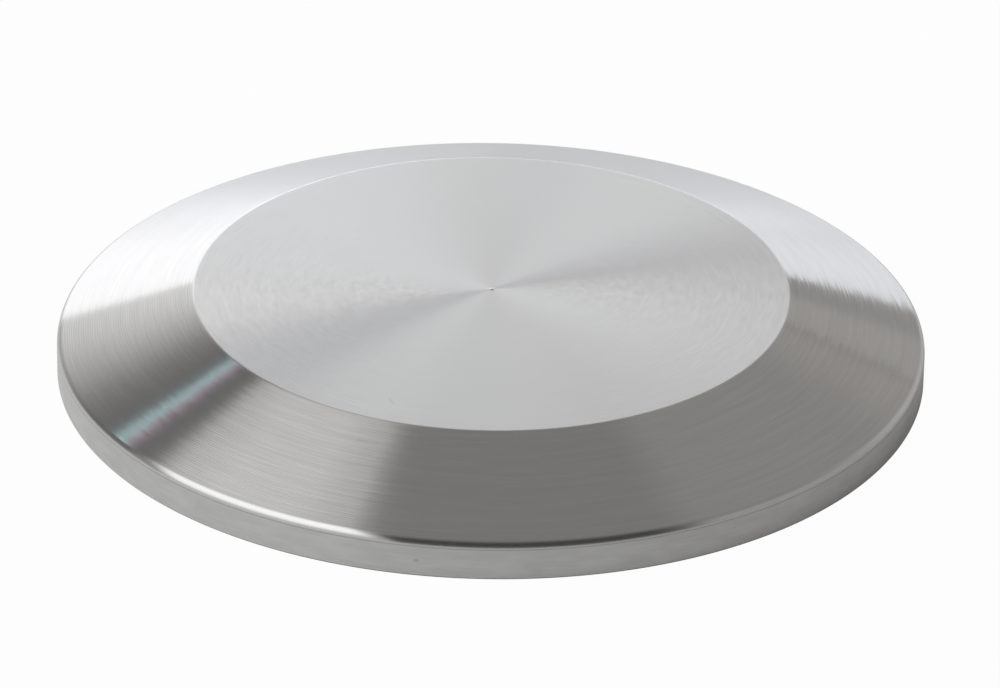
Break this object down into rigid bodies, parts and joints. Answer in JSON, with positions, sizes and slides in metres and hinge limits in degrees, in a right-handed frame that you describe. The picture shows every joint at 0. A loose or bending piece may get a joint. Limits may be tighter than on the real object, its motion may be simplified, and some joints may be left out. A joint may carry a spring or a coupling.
{
  "type": "sanitary clamp end cap",
  "caption": "Round one-piece stainless blank for a sanitary clamp joint, with a flat back face, a clamp taper, a rounded rim and a gasket groove in its sealing face.",
  "frame": {"origin": "centre of the sealing face", "axes": "+Z along the cap's axis, out of the back face, away from the tube that it closes; X and Y are any two radii, as the cap is round"},
  "size_m": [0.064, 0.064, 0.0065],
  "materials": {
    "stainless_steel": "Fine turned finish: rings of tool marks on the faces and the taper, a polished shoulder, a satin rim and a polished sealing face."
  },
  "bodies": {
    "root": {"end_cap": "stainless_steel"}
  },
  "joints": []
}
